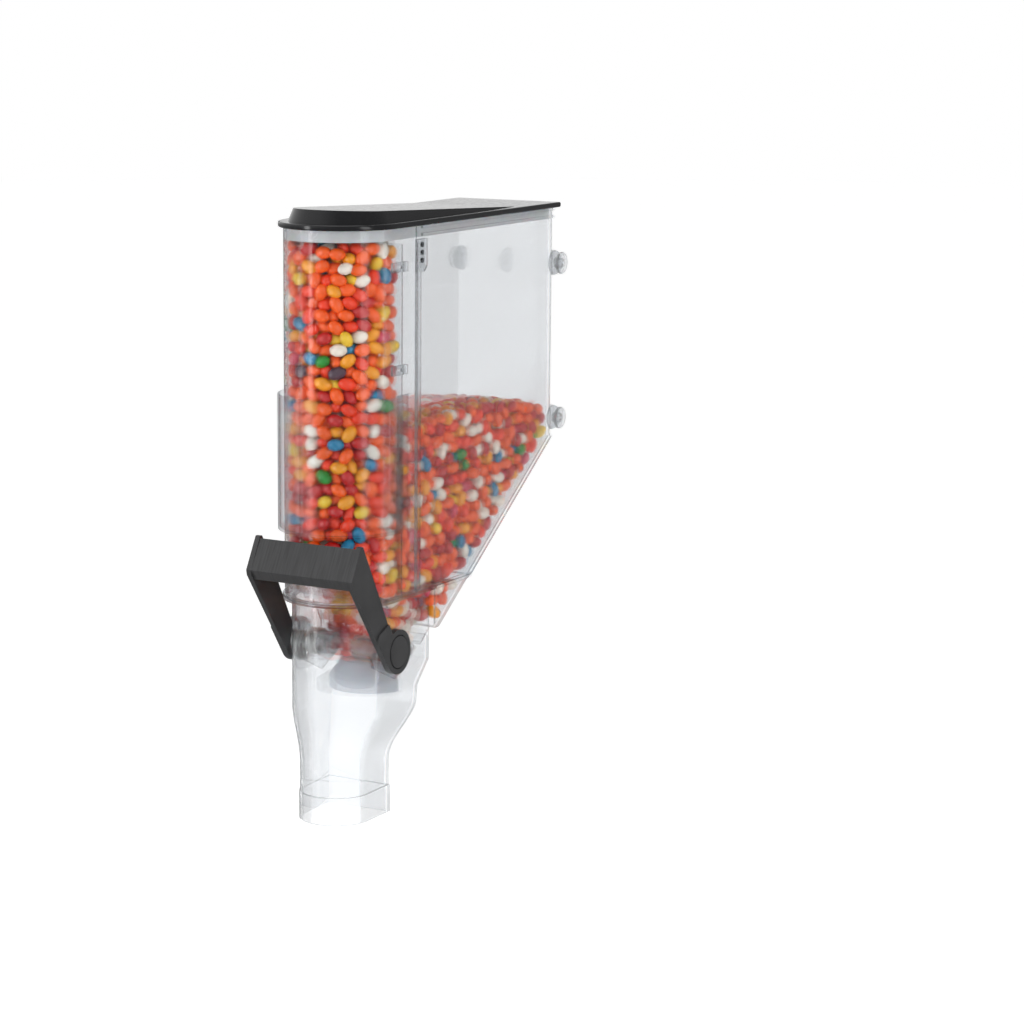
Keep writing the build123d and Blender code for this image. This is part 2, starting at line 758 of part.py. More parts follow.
spring_gap = min(
    (turn_points[index] - turn_points[index + step]).length
    for step in range(per_turn // 2, 2 * per_turn)
    for index in range(steps + 1 - step)
) - spring_wire
print(f"return spring: least gap to itself {spring_gap:.2f} mm, legs end at {path @ 0} and {path @ 1}")

# Lever: two arms and a bar, with hubs that cover the shaft's ends
with BuildPart() as lever_handle:
    with BuildSketch(pivot_plane(-arm_outer_x)):
        bent_strip((bar_top, bar_low, bar_tuck), bar_wall)
    extrude(amount=2 * arm_outer_x)
    arm_outline = (
        (bar_top[0] + arm_shoulder, bar_top[1] + arm_rise),
        (bar_top[0], bar_top[1] + arm_rise),
        bar_low,
        (bar_low[0] + 1.0, bar_low[1] - 5.0),
        arm_root,
        (0.0, 0.0),
        arm_back,
    )
    for side in (-1, 1):
        arm_x = arm_inner_x if side > 0 else -arm_outer_x
        with BuildSketch(pivot_plane(arm_x)):
            with BuildLine():
                Polyline(*arm_outline, close=True)
            make_face()
        extrude(amount=arm_thickness)
        hub_x = arm_inner_x if side > 0 else -hub_outer_x
        with BuildSketch(pivot_plane(hub_x)):
            Circle(hub_radius)
        extrude(amount=arm_thickness + arm_step)
        # Thicker foot of the arm
        foot_x = arm_inner_x if side > 0 else -hub_outer_x
        with BuildSketch(pivot_plane(foot_x)):
            with BuildLine():
                Polyline(*arm_foot, arm_root, (0.0, 0.0), arm_back, close=True)
            make_face()
        extrude(amount=arm_thickness + arm_step)
        # Recess for the cap, seat for the screw's head, hole for its shank, seat for the shaft
        for radius, start, stop in (
            (cap_radius + cap_gap, hub_outer_x - cap_recess, hub_outer_x),
            (screw_head_radius + 0.3, hub_outer_x - cap_recess - screw_head_height, hub_outer_x),
            (screw_shank_radius + 0.2, arm_inner_x, hub_outer_x),
            (shaft_radius + running_gap, arm_inner_x, arm_inner_x + shaft_seat),
        ):
            with BuildSketch(pivot_plane(start if side > 0 else -stop)):
                Circle(radius)
            extrude(amount=stop - start, mode=Mode.SUBTRACT)
finish(lever_handle.part, "lever_handle")

# Hub caps and the screws under them
for side_name, side in (("right", 1), ("left", -1)):
    cap_start = hub_outer_x - cap_recess
    cap_stop = hub_outer_x + cap_proud
    with BuildPart() as hub_cap:
        with BuildSketch(pivot_plane(cap_start if side > 0 else -cap_stop)):
            Circle(cap_radius)
        extrude(amount=cap_stop - cap_start)
        cap_rims = hub_cap.edges().filter_by(GeomType.CIRCLE).sort_by(Axis.X)
        fillet(cap_rims[-1] if side > 0 else cap_rims[0], radius=0.7)
    finish(hub_cap.part, "hub_cap_" + side_name)

    head_start = cap_start - screw_head_height
    with BuildPart() as handle_screw:
        with BuildSketch(pivot_plane(head_start if side > 0 else -cap_start)):
            Circle(screw_head_radius)
        extrude(amount=screw_head_height)
        shank_start = head_start - screw_length + 2.0
        with BuildSketch(pivot_plane(shank_start if side > 0 else -head_start)):
            Circle(screw_shank_radius)
        extrude(amount=screw_length - 2.0)
    finish(handle_screw.part, "handle_screw_" + side_name)
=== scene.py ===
import json
import math
import random
import bmesh
import bpy
from mathutils import Matrix, Vector
from mathutils.kdtree import KDTree


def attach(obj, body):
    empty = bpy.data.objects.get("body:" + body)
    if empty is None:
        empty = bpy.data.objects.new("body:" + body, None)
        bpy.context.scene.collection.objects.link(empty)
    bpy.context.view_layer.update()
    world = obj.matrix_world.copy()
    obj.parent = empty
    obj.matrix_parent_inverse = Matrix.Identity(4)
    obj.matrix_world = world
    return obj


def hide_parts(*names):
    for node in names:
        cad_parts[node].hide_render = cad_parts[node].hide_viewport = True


# Gravity bulk food dispenser, dressed for the shelf: clear hopper, frosted gate,
# black lid and lever, and the jelly beans it is filled with.

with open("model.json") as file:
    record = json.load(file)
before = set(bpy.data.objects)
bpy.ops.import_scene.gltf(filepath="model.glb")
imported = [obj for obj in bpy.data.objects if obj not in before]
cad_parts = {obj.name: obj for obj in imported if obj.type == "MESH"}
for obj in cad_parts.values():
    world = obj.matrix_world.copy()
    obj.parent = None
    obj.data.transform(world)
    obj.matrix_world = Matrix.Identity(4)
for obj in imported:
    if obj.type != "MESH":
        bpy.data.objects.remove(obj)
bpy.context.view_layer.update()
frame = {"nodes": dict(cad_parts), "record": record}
bodyOf = {node: body for body, nodes in frame["record"]["behaviour"]["bodies"].items() for node in nodes}
pivot = Vector((0, -0.305, -0.2585))  # axis of the lever and the gate
millimetre = 0.001
print("frame loaded,", len(bodyOf), "nodes")


def hexColour(code):  # sRGB hex to linear
    channels = [int(code[start:start + 2], 16) / 255 for start in (0, 2, 4)]
    return (*(c / 12.92 if c <= 0.04045 else ((c + 0.055) / 1.055) ** 2.4 for c in channels), 1.0)


def addNode(tree, kind, settings=None, values=None, links=None):
    node = tree.nodes.new(kind)
    for name, value in (settings or {}).items():
        setattr(node, name, value)
    for socket, value in (values or {}).items():
        node.inputs[socket].default_value = value
    for socket, source in (links or {}).items():
        tree.links.new(source, node.inputs[socket])
    return node


def emptyMaterial(name):
    material = bpy.data.materials.new(name)
    material.use_nodes = True
    material.node_tree.nodes.clear()
    return material, material.node_tree


# Camera, set where the photograph was taken from
cameraSetup = {
    "location": (1.39107, -2.52444, 0.34296),
    "tilt": 79.71,  # degrees from straight down
    "turn": 31.71,
    "lens": 100.9,
    "shift": 0.1453,
}
cameraData = bpy.data.cameras.new("camera")
cameraData.lens = cameraSetup["lens"]
cameraData.sensor_width = 36
cameraData.shift_x = cameraSetup["shift"]
cameraData.clip_end = 50
camera = bpy.data.objects.new("camera", cameraData)
camera.location = cameraSetup["location"]
camera.rotation_euler = (math.radians(cameraSetup["tilt"]), 0, math.radians(cameraSetup["turn"]))
bpy.context.scene.collection.objects.link(camera)
bpy.context.scene.camera = camera
print("camera placed")

# Soft studio light, and a floor well below, since the dispenser hangs on a wall
studio = {
    "fill": 0.55,  # world light on matt surfaces
    "darkSide": 0.33,  # what shiny walls mirror of the room on the right
    "darkTurn": (-0.35, 0.3),  # across the room, where it goes from white to that
    "lamps": {
        "strip": {"place": (-1.15, -2.1, -0.1), "size": (0.35, 1.9), "watts": 15},
        "overhead": {"place": (0.2, -0.5, 2.0), "size": (1.8, 1.8), "watts": 14},
        "side": {"place": (2.3, -0.9, 0.2), "size": (0.7, 1.6), "watts": 12},
    },
    "aim": (0, -0.25, -0.12),
    "floorHeight": -0.80,
    "floorSize": 30.0,
    "floorLift": 0.5,  # what brings the seen floor up to white
}
scene = bpy.context.scene
scene.view_settings.view_transform = "Standard"
for lampName, lamp in studio["lamps"].items():
    lampData = bpy.data.lights.new(lampName, "AREA")
    lampData.shape = "RECTANGLE"
    lampData.size, lampData.size_y = lamp["size"]
    lampData.energy = lamp["watts"]
    lampObject = bpy.data.objects.new(lampName, lampData)
    lampObject.location = lamp["place"]
    aim = Vector(studio["aim"]) - Vector(lamp["place"])
    lampObject.rotation_euler = aim.to_track_quat("-Z", "Y").to_euler()
    scene.collection.objects.link(lampObject)

world = bpy.data.worlds.new("studio")
world.use_nodes = True
scene.world = world
worldTree = world.node_tree
worldTree.nodes.clear()
rays = addNode(worldTree, "ShaderNodeLightPath")
seen = addNode(worldTree, "ShaderNodeMath", {"operation": "MAXIMUM"},
               links={0: rays.outputs["Is Camera Ray"], 1: rays.outputs["Is Transmission Ray"]})
direction = addNode(worldTree, "ShaderNodeTexCoord")
split = addNode(worldTree, "ShaderNodeSeparateXYZ", links={0: direction.outputs["Generated"]})
mirrored = addNode(worldTree, "ShaderNodeMapRange",
                   values={"From Min": studio["darkTurn"][0], "From Max": studio["darkTurn"][1],
                           "To Min": 1.0, "To Max": studio["darkSide"]},
                   links={"Value": split.outputs["X"]})
fill = addNode(worldTree, "ShaderNodeBackground", values={"Color": (1, 1, 1, 1), "Strength": studio["fill"]})
white = addNode(worldTree, "ShaderNodeBackground", values={"Color": (1, 1, 1, 1), "Strength": 1.0})
room = addNode(worldTree, "ShaderNodeBackground", values={"Color": (1, 1, 1, 1)},
               links={"Strength": mirrored.outputs[0]})
blend = addNode(worldTree, "ShaderNodeMixShader",
                links={0: rays.outputs["Is Glossy Ray"], 1: fill.outputs[0], 2: room.outputs[0]})
blend = addNode(worldTree, "ShaderNodeMixShader",
                links={0: seen.outputs[0], 1: blend.outputs[0], 2: white.outputs[0]})
addNode(worldTree, "ShaderNodeOutputWorld", links={"Surface": blend.outputs[0]})

# Floor: painted white board, lifted to white where it is seen, and it keeps the shadow
floorMaterial, tree = emptyMaterial("paintedStudioFloor")
rays = addNode(tree, "ShaderNodeLightPath")
seen = addNode(tree, "ShaderNodeMath", {"operation": "MAXIMUM"},
               links={0: rays.outputs["Is Camera Ray"], 1: rays.outputs["Is Transmission Ray"]})
paint = addNode(tree, "ShaderNodeBsdfPrincipled",
                values={"Base Color": hexColour("F4F4F4"), "Roughness": 0.9, "Specular IOR Level": 0.1})
lift = addNode(tree, "ShaderNodeMath", {"operation": "MULTIPLY"}, {1: studio["floorLift"]},
               {0: seen.outputs[0]})
glow = addNode(tree, "ShaderNodeEmission", values={"Color": (1, 1, 1, 1)}, links={"Strength": lift.outputs[0]})
lifted = addNode(tree, "ShaderNodeAddShader", links={0: paint.outputs[0], 1: glow.outputs[0]})
shade = addNode(tree, "ShaderNodeEmission", values={"Color": (1, 1, 1, 1), "Strength": studio["darkSide"]})
# a ray that passes through clear plastic counts as glossy too, so what is seen comes off
mirrorOnly = addNode(tree, "ShaderNodeMath", {"operation": "SUBTRACT", "use_clamp": True},
                     links={0: rays.outputs["Is Glossy Ray"], 1: seen.outputs[0]})
shown = addNode(tree, "ShaderNodeMixShader",
                links={0: mirrorOnly.outputs[0], 1: lifted.outputs[0], 2: shade.outputs[0]})
addNode(tree, "ShaderNodeOutputMaterial", links={"Surface": shown.outputs[0]})
floorBuild = bmesh.new()
bmesh.ops.create_circle(floorBuild, cap_ends=True, segments=64, radius=studio["floorSize"] / 2,
                        matrix=Matrix.Translation((0, 0, studio["floorHeight"])))
floorMesh = bpy.data.meshes.new("studioFloor")
floorBuild.to_mesh(floorMesh)
floorBuild.free()
floorMesh.materials.append(floorMaterial)
studioFloor = bpy.data.objects.new("studioFloor", floorMesh)
scene.collection.objects.link(studioFloor)
print("studio lit")


# Clear polycarbonate, injection moulded: sharp reflections, grey where light runs along a wall
clearLook = {
    "tint": "FBFCFD",
    "smokeTint": "8E9296",
    "edgeTint": "4E5359",  # grey of a wall seen along its length
    "edgeNarrow": 6.0,  # the higher, the thinner that grey line
    "roughness": 0.0,
    "ior": 1.32,  # under the 1.58 of the plastic, because every wall is seen through two or three more
    "waveSize": 30.0,  # mm, slow waves from the mould
    "waveDepth": 0.03,  # mm
    "waveStrength": 0.3,
}


# ease is the share that goes straight through, smoke how fast a long way through turns grey,
# per metre, and rim how dark a wall gets where it is seen along its length
def clearMaterial(name, ease, smoke, rim):
    material, tree = emptyMaterial(name)
    place = addNode(tree, "ShaderNodeTexCoord")
    waves = addNode(tree, "ShaderNodeTexNoise", values={"Scale": 1000 / clearLook["waveSize"], "Detail": 1.0},
                    links={"Vector": place.outputs["Object"]})
    bump = addNode(tree, "ShaderNodeBump",
                   values={"Strength": clearLook["waveStrength"],
                           "Distance": clearLook["waveDepth"] * millimetre},
                   links={"Height": waves.outputs[0]})
    body = addNode(tree, "ShaderNodeBsdfPrincipled",
                   values={"Roughness": clearLook["roughness"], "IOR": clearLook["ior"],
                           "Transmission Weight": 1.0},
                   links={"Normal": bump.outputs[0]})
    facing = addNode(tree, "ShaderNodeLayerWeight", values={"Blend": 0.5}, links={"Normal": bump.outputs[0]})
    narrow = addNode(tree, "ShaderNodeMath", {"operation": "POWER"},
                     {1: clearLook["edgeNarrow"]}, {0: facing.outputs["Facing"]})
    edge = addNode(tree, "ShaderNodeMath", {"operation": "MULTIPLY"}, {1: rim}, {0: narrow.outputs[0]})
    edgeTone = addNode(tree, "ShaderNodeMix", {"data_type": "RGBA"},
                       {6: hexColour(clearLook["tint"]), 7: hexColour(clearLook["edgeTint"])},
                       {0: edge.outputs[0]})
    tree.links.new(edgeTone.outputs[2], body.inputs["Base Color"])
    through = addNode(tree, "ShaderNodeBsdfTransparent", links={"Color": edgeTone.outputs[2]})
    rays = addNode(tree, "ShaderNodeLightPath")
    share = addNode(tree, "ShaderNodeMath", {"operation": "MAXIMUM"}, {1: ease},
                    {0: rays.outputs["Is Shadow Ray"]})
    soft = addNode(tree, "ShaderNodeMixShader",
                   links={0: share.outputs[0], 1: body.outputs[0], 2: through.outputs[0]})
    haze = addNode(tree, "ShaderNodeVolumeAbsorption",
                   values={"Color": hexColour(clearLook["smokeTint"]), "Density": smoke})
    addNode(tree, "ShaderNodeOutputMaterial", links={"Surface": soft.outputs[0], "Volume": haze.outputs[0]})
    return material


clearPlastic = clearMaterial("polycarbonateMoulded", ease=0.38, smoke=5.0, rim=0.9)
clearFitting = clearMaterial("polycarbonateFitting", ease=0.35, smoke=45.0, rim=1.0)  # small thick pieces
clearSleeve = clearMaterial("polycarbonateSleeve", ease=0.85, smoke=5.0, rim=0.9)  # thin
# the staked rivets are clear plastic; this near-black absorption is painted shade for the dark dots that they
# show
rivetPaintedShade = clearMaterial("polycarbonateStakedPaintedShade", ease=0.1, smoke=1500.0, rim=1.0)  # nearly black

# Frosted polycarbonate: the same plastic from a blasted mould, so it glows grey-white
frostLook = {
    "tint": "C3C7CD",
    "ior": 1.49,
    "through": 0.3,
    "glow": 0.2,
    "glowDepth": 0.004,  # m
    "grain": 0.9,  # mm
    "grainStrength": 0.25,
    "grainDepth": 0.05,  # mm
    "cloudSize": 22.0,  # mm
    "roughness": (0.48, 0.62),
}
frostedPlastic, tree = emptyMaterial("polycarbonateFrosted")
place = addNode(tree, "ShaderNodeTexCoord")
grain = addNode(tree, "ShaderNodeTexNoise", values={"Scale": 1000 / frostLook["grain"], "Detail": 3.0},
                links={"Vector": place.outputs["Object"]})
bump = addNode(tree, "ShaderNodeBump",
               values={"Strength": frostLook["grainStrength"],
                       "Distance": frostLook["grainDepth"] * millimetre},
               links={"Height": grain.outputs[0]})
clouds = addNode(tree, "ShaderNodeTexNoise", values={"Scale": 1000 / frostLook["cloudSize"], "Detail": 2.0},
                 links={"Vector": place.outputs["Object"]})
cloudTone = addNode(tree, "ShaderNodeMapRange",
                    values={"From Min": 0.3, "From Max": 0.7, "To Min": frostLook["roughness"][0],
                            "To Max": frostLook["roughness"][1]},
                    links={"Value": clouds.outputs[0]})
body = addNode(tree, "ShaderNodeBsdfPrincipled",
               values={"Base Color": hexColour(frostLook["tint"]), "IOR": frostLook["ior"],
                       "Transmission Weight": frostLook["through"], "Subsurface Weight": frostLook["glow"],
                       "Subsurface Scale": frostLook["glowDepth"]},
               links={"Normal": bump.outputs[0], "Roughness": cloudTone.outputs[0]})
addNode(tree, "ShaderNodeOutputMaterial", links={"Surface": body.outputs[0]})

# Silicone, moulded: milky grey skirt under the lid
sealLook = {
    "dark": "C9CACC",
    "light": "DADBDC",
    "cloudSize": 9.0,  # mm
    "roughness": 0.5,
    "ior": 1.41,
    "through": 0.35,
    "glow": 0.3,
    "glowDepth": 0.003,  # m
}
sealPlastic, tree = emptyMaterial("siliconeMoulded")
place = addNode(tree, "ShaderNodeTexCoord")
clouds = addNode(tree, "ShaderNodeTexNoise", values={"Scale": 1000 / sealLook["cloudSize"], "Detail": 2.0},
                 links={"Vector": place.outputs["Object"]})
tone = addNode(tree, "ShaderNodeMix", {"data_type": "RGBA"},
               {6: hexColour(sealLook["dark"]), 7: hexColour(sealLook["light"])}, {0: clouds.outputs[0]})
body = addNode(tree, "ShaderNodeBsdfPrincipled",
               values={"Roughness": sealLook["roughness"], "IOR": sealLook["ior"],
                       "Transmission Weight": sealLook["through"], "Subsurface Weight": sealLook["glow"],
                       "Subsurface Scale": sealLook["glowDepth"]},
               links={"Base Color": tone.outputs[2]})
addNode(tree, "ShaderNodeOutputMaterial", links={"Surface": body.outputs[0]})


# Black ABS, moulded: a grain that runs along one axis, over a finer one
blackGrain = {
    "depth": 0.06,  # mm
    "fineSize": 0.7,  # mm
    "fineDepth": 0.03,  # mm
    "fineStrength": 0.15,
}


def blackMaterial(name, look):
    material, tree = emptyMaterial(name)
    place = addNode(tree, "ShaderNodeTexCoord")
    along = addNode(tree, "ShaderNodeMapping", values={"Scale": look["grainAlong"]},
                    links={"Vector": place.outputs["Object"]})
    grain = addNode(tree, "ShaderNodeTexNoise", values={"Scale": 1000 / look["grainSize"], "Detail": 4.0},
                    links={"Vector": along.outputs[0]})
    fine = addNode(tree, "ShaderNodeTexNoise", values={"Scale": 1000 / blackGrain["fineSize"], "Detail": 2.0},
                   links={"Vector": place.outputs["Object"]})
    bump = addNode(tree, "ShaderNodeBump",
                   values={"Strength": look["bump"], "Distance": blackGrain["depth"] * millimetre},
                   links={"Height": grain.outputs[0]})
    bump = addNode(tree, "ShaderNodeBump",
                   values={"Strength": blackGrain["fineStrength"],
                           "Distance": blackGrain["fineDepth"] * millimetre},
                   links={"Height": fine.outputs[0], "Normal": bump.outputs[0]})
    tone = addNode(tree, "ShaderNodeMix", {"data_type": "RGBA"},
                   {6: hexColour(look["dark"]), 7: hexColour(look["light"])}, {0: grain.outputs[0]})
    shine = addNode(tree, "ShaderNodeMapRange",
                    values={"From Min": 0.3, "From Max": 0.7, "To Min": look["shine"][0],
                            "To Max": look["shine"][1]},
                    links={"Value": grain.outputs[0]})
    body = addNode(tree, "ShaderNodeBsdfPrincipled", values={"IOR": look["ior"]},
                   links={"Base Color": tone.outputs[2], "Roughness": shine.outputs[0],
                          "Normal": bump.outputs[0]})
    addNode(tree, "ShaderNodeOutputMaterial", links={"Surface": body.outputs[0]})
    return material


leverPlastic = blackMaterial("absSatinLever", {
    "dark": "222223", "light": "4C4C4D", "grainSize": 1.6, "grainAlong": (1.0, 0.05, 0.05),
    "bump": 0.6, "shine": (0.28, 0.48), "ior": 1.42,
})
lidPlastic = blackMaterial("absPolishedLid", {
    "dark": "18181A", "light": "202022", "grainSize": 3.0, "grainAlong": (1.0, 0.3, 1.0),
    "bump": 0.05, "shine": (0.12, 0.2), "ior": 1.4,
})

# Acetal, turned: fine tool marks on white
acetalLook = {"tint": "ECECE8", "roughness": 0.4, "ior": 1.48, "marks": 0.6, "marksDepth": 0.02}  # marks in mm
acetal, tree = emptyMaterial("acetalTurned")
place = addNode(tree, "ShaderNodeTexCoord")
marks = addNode(tree, "ShaderNodeTexNoise", values={"Scale": 1000 / acetalLook["marks"], "Detail": 2.0},
                links={"Vector": place.outputs["Object"]})
bump = addNode(tree, "ShaderNodeBump",
               values={"Strength": 0.2, "Distance": acetalLook["marksDepth"] * millimetre},
               links={"Height": marks.outputs[0]})
body = addNode(tree, "ShaderNodeBsdfPrincipled",
               values={"Base Color": hexColour(acetalLook["tint"]), "Roughness": acetalLook["roughness"],
                       "IOR": acetalLook["ior"]},
               links={"Normal": bump.outputs[0]})
addNode(tree, "ShaderNodeOutputMaterial", links={"Surface": body.outputs[0]})

# Stainless steel, drawn: bright, with patches that are a little duller
steelLook = {"tint": "C8C8C4", "marks": 0.5, "roughness": (0.2, 0.36)}  # marks in mm
steel, tree = emptyMaterial("stainlessDrawn")
place = addNode(tree, "ShaderNodeTexCoord")
marks = addNode(tree, "ShaderNodeTexNoise", values={"Scale": 1000 / steelLook["marks"], "Detail": 3.0},
                links={"Vector": place.outputs["Object"]})
shine = addNode(tree, "ShaderNodeMapRange",
                values={"From Min": 0.3, "From Max": 0.7, "To Min": steelLook["roughness"][0],
                        "To Max": steelLook["roughness"][1]},
                links={"Value": marks.outputs[0]})
body = addNode(tree, "ShaderNodeBsdfPrincipled",
               values={"Base Color": hexColour(steelLook["tint"]), "Metallic": 1.0},
               links={"Roughness": shine.outputs[0]})
addNode(tree, "ShaderNodeOutputMaterial", links={"Surface": body.outputs[0]})
print("materials made")


def keepPiece(work, name, body, material):  # finished bmesh to an object that rides on a body
    mesh = bpy.data.meshes.new(name)
    work.to_mesh(mesh)
    work.free()
    for one in material if isinstance(material, list) else [material]:
        mesh.materials.append(one)
    piece = bpy.data.objects.new(name, mesh)
    scene.collection.objects.link(piece)
    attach(piece, body)
    return piece


moulding = {
    "weld": 2e-6,  # m
    "flatBelow": 0.4,  # degrees, triangles flatter than this become one face before an edge is rounded
    "smoothBelow": 30,  # degrees
    "roundAbove": 32,  # degrees
    "roundSteps": 3,
}


def weldedCopy(node):  # a CAD node's triangles, joined up
    work = bmesh.new()
    work.from_mesh(frame["nodes"][node].data)
    bmesh.ops.remove_doubles(work, verts=work.verts, dist=moulding["weld"])
    return work


def smoothByAngle(work, degrees):
    for face in work.faces:
        face.smooth = True
    for edge in work.edges:
        edge.smooth = edge.is_manifold and edge.calc_face_angle(0) < math.radians(degrees)


# Moulded pieces keep the shape that they have in the frame, with smooth rounds;
# the lever and its caps also get the radius of a moulded edge
finishes = {
    "clear_plastic": clearPlastic,
    "frosted_plastic": frostedPlastic,
    "milky_seal": sealPlastic,
    "black_plastic": leverPlastic,
    "white_acetal": acetal,
    "stainless_steel": steel,
}
edgeRounds = {"lever_handle": 1.1, "hub_cap_left": 0.4, "hub_cap_right": 0.4}  # mm
ownFinish = {"lid": lidPlastic, "label_holder": clearSleeve}
for node in bodyOf:
    if node.startswith(("stud_", "seam_rail", "tab_rivets", "label_clips", "gate_yoke")):
        # the rivets get the near-black painted shade, the other fittings the thick clear plastic
        ownFinish[node] = rivetPaintedShade if node.startswith("tab_rivets") else clearFitting
slotOf = {entry["node"]: entry["material_slot"] for entry in frame["record"]["subparts"]}
for node, body in bodyOf.items():
    work = weldedCopy(node)
    if node in edgeRounds:
        bmesh.ops.dissolve_limit(work, angle_limit=math.radians(moulding["flatBelow"]),
                                 use_dissolve_boundaries=False, verts=work.verts, edges=work.edges)
    smoothByAngle(work, moulding["smoothBelow"])
    finish = ownFinish.get(node, finishes[slotOf[node]])
    piece = keepPiece(work, "moulded_" + node, body, finish)
    if node in edgeRounds:
        rounding = piece.modifiers.new("mouldRadius", "BEVEL")
        rounding.width = edgeRounds[node] * millimetre
        rounding.segments = moulding["roundSteps"]
        rounding.limit_method = "ANGLE"
        rounding.angle_limit = math.radians(moulding["roundAbove"])
        rounding.harden_normals = True
    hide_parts(node)
print("moulded pieces dressed:", len(bodyOf))

# Jelly beans: panned sugar shells in mixed colours, loose in the hopper
beans = {
    "halfLength": 9.1,  # mm
    "halfWidth": 6.4,
    "halfDepth": 6.2,
    "spacing": 13.0,  # mm between centres before they settle
    "jitter": 3.2,
    "settling": 10,  # rounds of pushing apart
    "push": 0.45,  # share of an overlap that each bean gives way by
    "closeness": 0.985,  # of the spacing, where the pushing stops
    "wallGap": 0.15,  # mm
    "startGap": 1.5,  # mm from a wall, nearer than which none is laid
    "layer": 21.0,  # mm deep from a wall, past which no bean can be seen
    "rowPitch": 0.866,  # of the spacing, as in a close stack
    "levelPitch": 0.8165,
    "fullTurn": 6.28,
    "handful": 40,  # how many are made in one mesh before they are joined
    "sizes": (0.9, 1.0),  # of the full size
    "spread": (1.0, 1.0, 0.6),  # they lie flatter than they stand
    "mottle": 7.0,  # mm
    "deepShade": 0.72,  # of the colour, in the mottle
}
beanColours = {  # sRGB, share of the mix
    "orange": ("F55A00", 36), "deepOrange": ("EE3600", 15), "red": ("BE0A08", 17), "white": ("EFE7D8", 12),
    "amber": ("F29C0E", 11), "yellow": ("EDC42A", 4), "teal": ("1580AA", 2.6), "green": ("128A24", 2.2),
    "pink": ("CC3350", 2.0), "plum": ("4A3442", 0.3),
}
beanMaterials = []
for colourName, (code, share) in beanColours.items():
    beanMaterial, tree = emptyMaterial("sugarShell_" + colourName)
    place = addNode(tree, "ShaderNodeTexCoord")
    mottle = addNode(tree, "ShaderNodeTexNoise", values={"Scale": 1000 / beans["mottle"], "Detail": 2.0},
                     links={"Vector": place.outputs["Object"]})
    deep = tuple(channel * beans["deepShade"] for channel in hexColour(code)[:3]) + (1.0,)
    tone = addNode(tree, "ShaderNodeMix", {"data_type": "RGBA"}, {6: deep, 7: hexColour(code)},
                   {0: mottle.outputs[0]})
    body = addNode(tree, "ShaderNodeBsdfPrincipled",
                   values={"Roughness": 0.3, "IOR": 1.45, "Coat Weight": 0.1, "Coat Roughness": 0.12},
                   links={"Base Color": tone.outputs[2]})
    addNode(tree, "ShaderNodeOutputMaterial", links={"Surface": body.outputs[0]})
    beanMaterials.append(beanMaterial)

slope = math.tan(math.radians(35))  # the sloping floor
columnHalf, columnCentre, dividerFront, dividerBack = 51.0, -309.0, -292.0, -289.0  # mm, insides of the walls
sealBottom, backWall, slopeTop = 121.3, -6.0, -94.4
heap = {  # mm, and shares of the way from the divider to the back
    "height": -60.0, "rise": 12.0, "peak": 1.05, "fall": 12.0, "fallFrom": 0.72,
    "crown": 4.0, "crownWidth": 34,
}


def flat(normal, offset):  # a wall as an inward distance: offset minus normal dot point
    normal = Vector(normal).normalized()
    return lambda point: (offset - normal.dot(point), normal)


def roundFront(point):  # the half-round front of the window
    if point.y >= columnCentre:
        return (columnHalf - abs(point.x), Vector((1 if point.x > 0 else -1, 0, 0)))
    out = Vector((point.x, point.y - columnCentre, 0))
    return (columnHalf - out.length, out.normalized() if out.length else Vector((0, -1, 0)))


def heapTop(point):  # the slope that the beans lie at in the bin
    along = (point.y - dividerBack) / (backWall - dividerBack)
    height = heap["height"] + heap["rise"] * math.sin(math.pi * min(1, max(0, along * heap["peak"])))
    height -= heap["fall"] * max(0, along - heap["fallFrom"])
    height += heap["crown"] * math.cos(point.x / heap["crownWidth"])
    return (height - point.z, Vector((0, 0, 1)))


floorNormal = Vector((0, slope, -1)).normalized()
floorOffset = floorNormal.dot(Vector((0, backWall, slopeTop)))
shelfNormal = Vector((0, -26.1, -56.0)).normalized()  # the shallow floor under the front column
shelfOffset = shelfNormal.dot(Vector((0, pivot.y * 1000 - 4.0, pivot.z * 1000 + 44.5 + 2.8)))
print("bean walls set")


def pivotPlane(normal, y, z):  # a wall through a point given from the pivot, in mm
    normal = Vector((0, *normal)).normalized()
    return flat(normal, normal.dot(pivot * 1000 + Vector((0, y, z))))


def sides(half):  # the two flat sides as one wall
    return lambda point: (half - abs(point.x), Vector((1 if point.x > 0 else -1, 0, 0)))


# low and high are the corners of the box that is filled before the walls cut it, in mm
beanZones = {
    "beansColumn": {
        "low": (-51, -360, -210), "high": (51, -292, 121),
        "walls": [roundFront, flat((0, 1, 0), dividerFront), flat((0, 0, 1), sealBottom),
                  flat(shelfNormal, shelfOffset), flat((0, 0, -1), 209.5)],
        "seed": 11,
    },
    "beansBin": {
        "low": (-51, -289, -210), "high": (51, -6, -30),
        "walls": [sides(51), flat((0, -1, 0), -dividerBack), flat((0, 1, 0), backWall), heapTop,
                  flat(floorNormal, floorOffset), flat((0, 0, -1), 209.5)],
        "seed": 23,
    },
    "beansOutlet": {
        "low": (-44, -306, -280), "high": (44, -167, -209),
        "walls": [lambda point: ((51 if point.y > -231 else 28 + (point.z + 276) * 0.24) - abs(point.x),
                                 Vector((1 if point.x > 0 else -1, 0, 0))),
                  flat((0, 0, 1), -209.5), flat(floorNormal, floorOffset), pivotPlane((-1, 0), 15.6, 0),
                  pivotPlane((0, -1), 0, -17.8), pivotPlane((9, -25), 34, -17.6)],
        "seed": 37,
    },
}


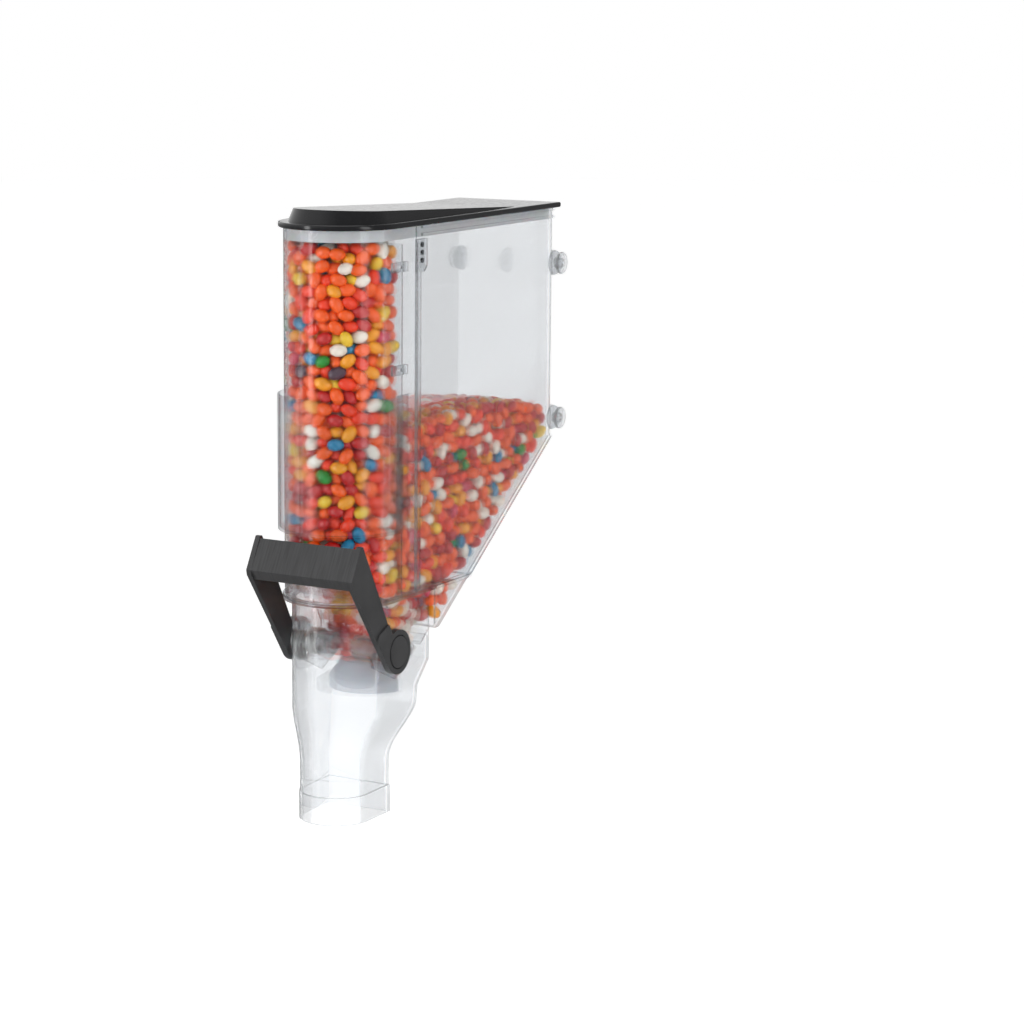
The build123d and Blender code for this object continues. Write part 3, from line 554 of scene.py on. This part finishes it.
def settle(points, walls):  # push apart what overlaps, and keep it inside the walls
    reach = beans["spacing"] * beans["closeness"]
    stand = beans["halfWidth"] + beans["wallGap"]
    for turn in range(beans["settling"]):
        tree = KDTree(len(points))
        for index, point in enumerate(points):
            tree.insert(point, index)
        tree.balance()
        moves = [Vector() for point in points]
        for index, point in enumerate(points):
            for near, other, distance in tree.find_range(point, reach):
                if other > index and distance > 1e-4:
                    push = (point - near) * ((reach - distance) * beans["push"] / distance)
                    moves[index] += push
                    moves[other] -= push
        for index, point in enumerate(points):
            point += moves[index]
            for wall in walls:
                depth, normal = wall(point)
                if depth < stand:
                    point -= normal * (stand - depth)


def layBeans(name, zone):
    chance = random.Random(zone["seed"])
    gap = beans["spacing"]
    low, high = Vector(zone["low"]), Vector(zone["high"])
    points = []
    for level in range(int((high.z - low.z) / (gap * beans["levelPitch"])) + 1):
        for row in range(int((high.y - low.y) / (gap * beans["rowPitch"])) + 1):
            for column in range(int((high.x - low.x) / gap) + 2):
                point = low + Vector(((column + 0.5 * ((row + level) % 2)) * gap,
                                      (row + (level % 2) / 3) * gap * beans["rowPitch"],
                                      level * gap * beans["levelPitch"]))
                point += Vector([chance.uniform(-1, 1) * beans["jitter"] for axis in range(3)])
                if min(wall(point)[0] for wall in zone["walls"]) > beans["startGap"]:
                    points.append(point)
    settle(points, zone["walls"])
    handful = bmesh.new()  # small batches, because each operator reads its whole mesh
    handfuls = []
    laid = 0
    shares = [share for code, share in beanColours.values()]
    for point in points:
        walls = [wall(point) for wall in zone["walls"]]
        if min(depth for depth, normal in walls) > beans["layer"]:
            continue
        size = chance.uniform(*beans["sizes"])
        lie = Vector([chance.gauss(0, spread) for spread in beans["spread"]]).normalized()
        for depth, normal in walls:
            spare = (depth / size) ** 2 - beans["halfWidth"] ** 2
            most = math.sqrt(max(0, spare) / (beans["halfLength"] ** 2 - beans["halfWidth"] ** 2))
            across = lie.dot(normal)
            if abs(across) > most:
                flatLie = lie - normal * across
                if flatLie.length > 1e-4:
                    lie = (flatLie.normalized() * math.sqrt(1 - min(most, 1) ** 2)
                           + normal * math.copysign(most, across))
        roll = Matrix.Rotation(chance.uniform(0, beans["fullTurn"]), 4, "X")
        turn = lie.to_track_quat("X", "Z").to_matrix().to_4x4() @ roll
        shape = Matrix.Diagonal((beans["halfLength"] * size, beans["halfWidth"] * size,
                                 beans["halfDepth"] * size, 1))
        place = Matrix.Scale(millimetre, 4) @ Matrix.Translation(point) @ turn @ shape
        made = bmesh.ops.create_icosphere(handful, subdivisions=2, radius=1, matrix=place)
        colour = chance.choices(range(len(shares)), shares)[0]
        for face in {face for vert in made["verts"] for face in vert.link_faces}:
            face.material_index = colour
            face.smooth = True
        laid += 1
        if laid % beans["handful"] == 0:
            handfuls.append(handful)
            handful = bmesh.new()
    work = bmesh.new()
    for handful in handfuls + [handful]:
        batch = bpy.data.meshes.new("handful")
        handful.to_mesh(batch)
        handful.free()
        work.from_mesh(batch)
        bpy.data.meshes.remove(batch)
    keepPiece(work, name, "hopper", beanMaterials)
    print(name, laid, "beans")


for zoneName, zone in beanZones.items():
    layBeans(zoneName, zone)
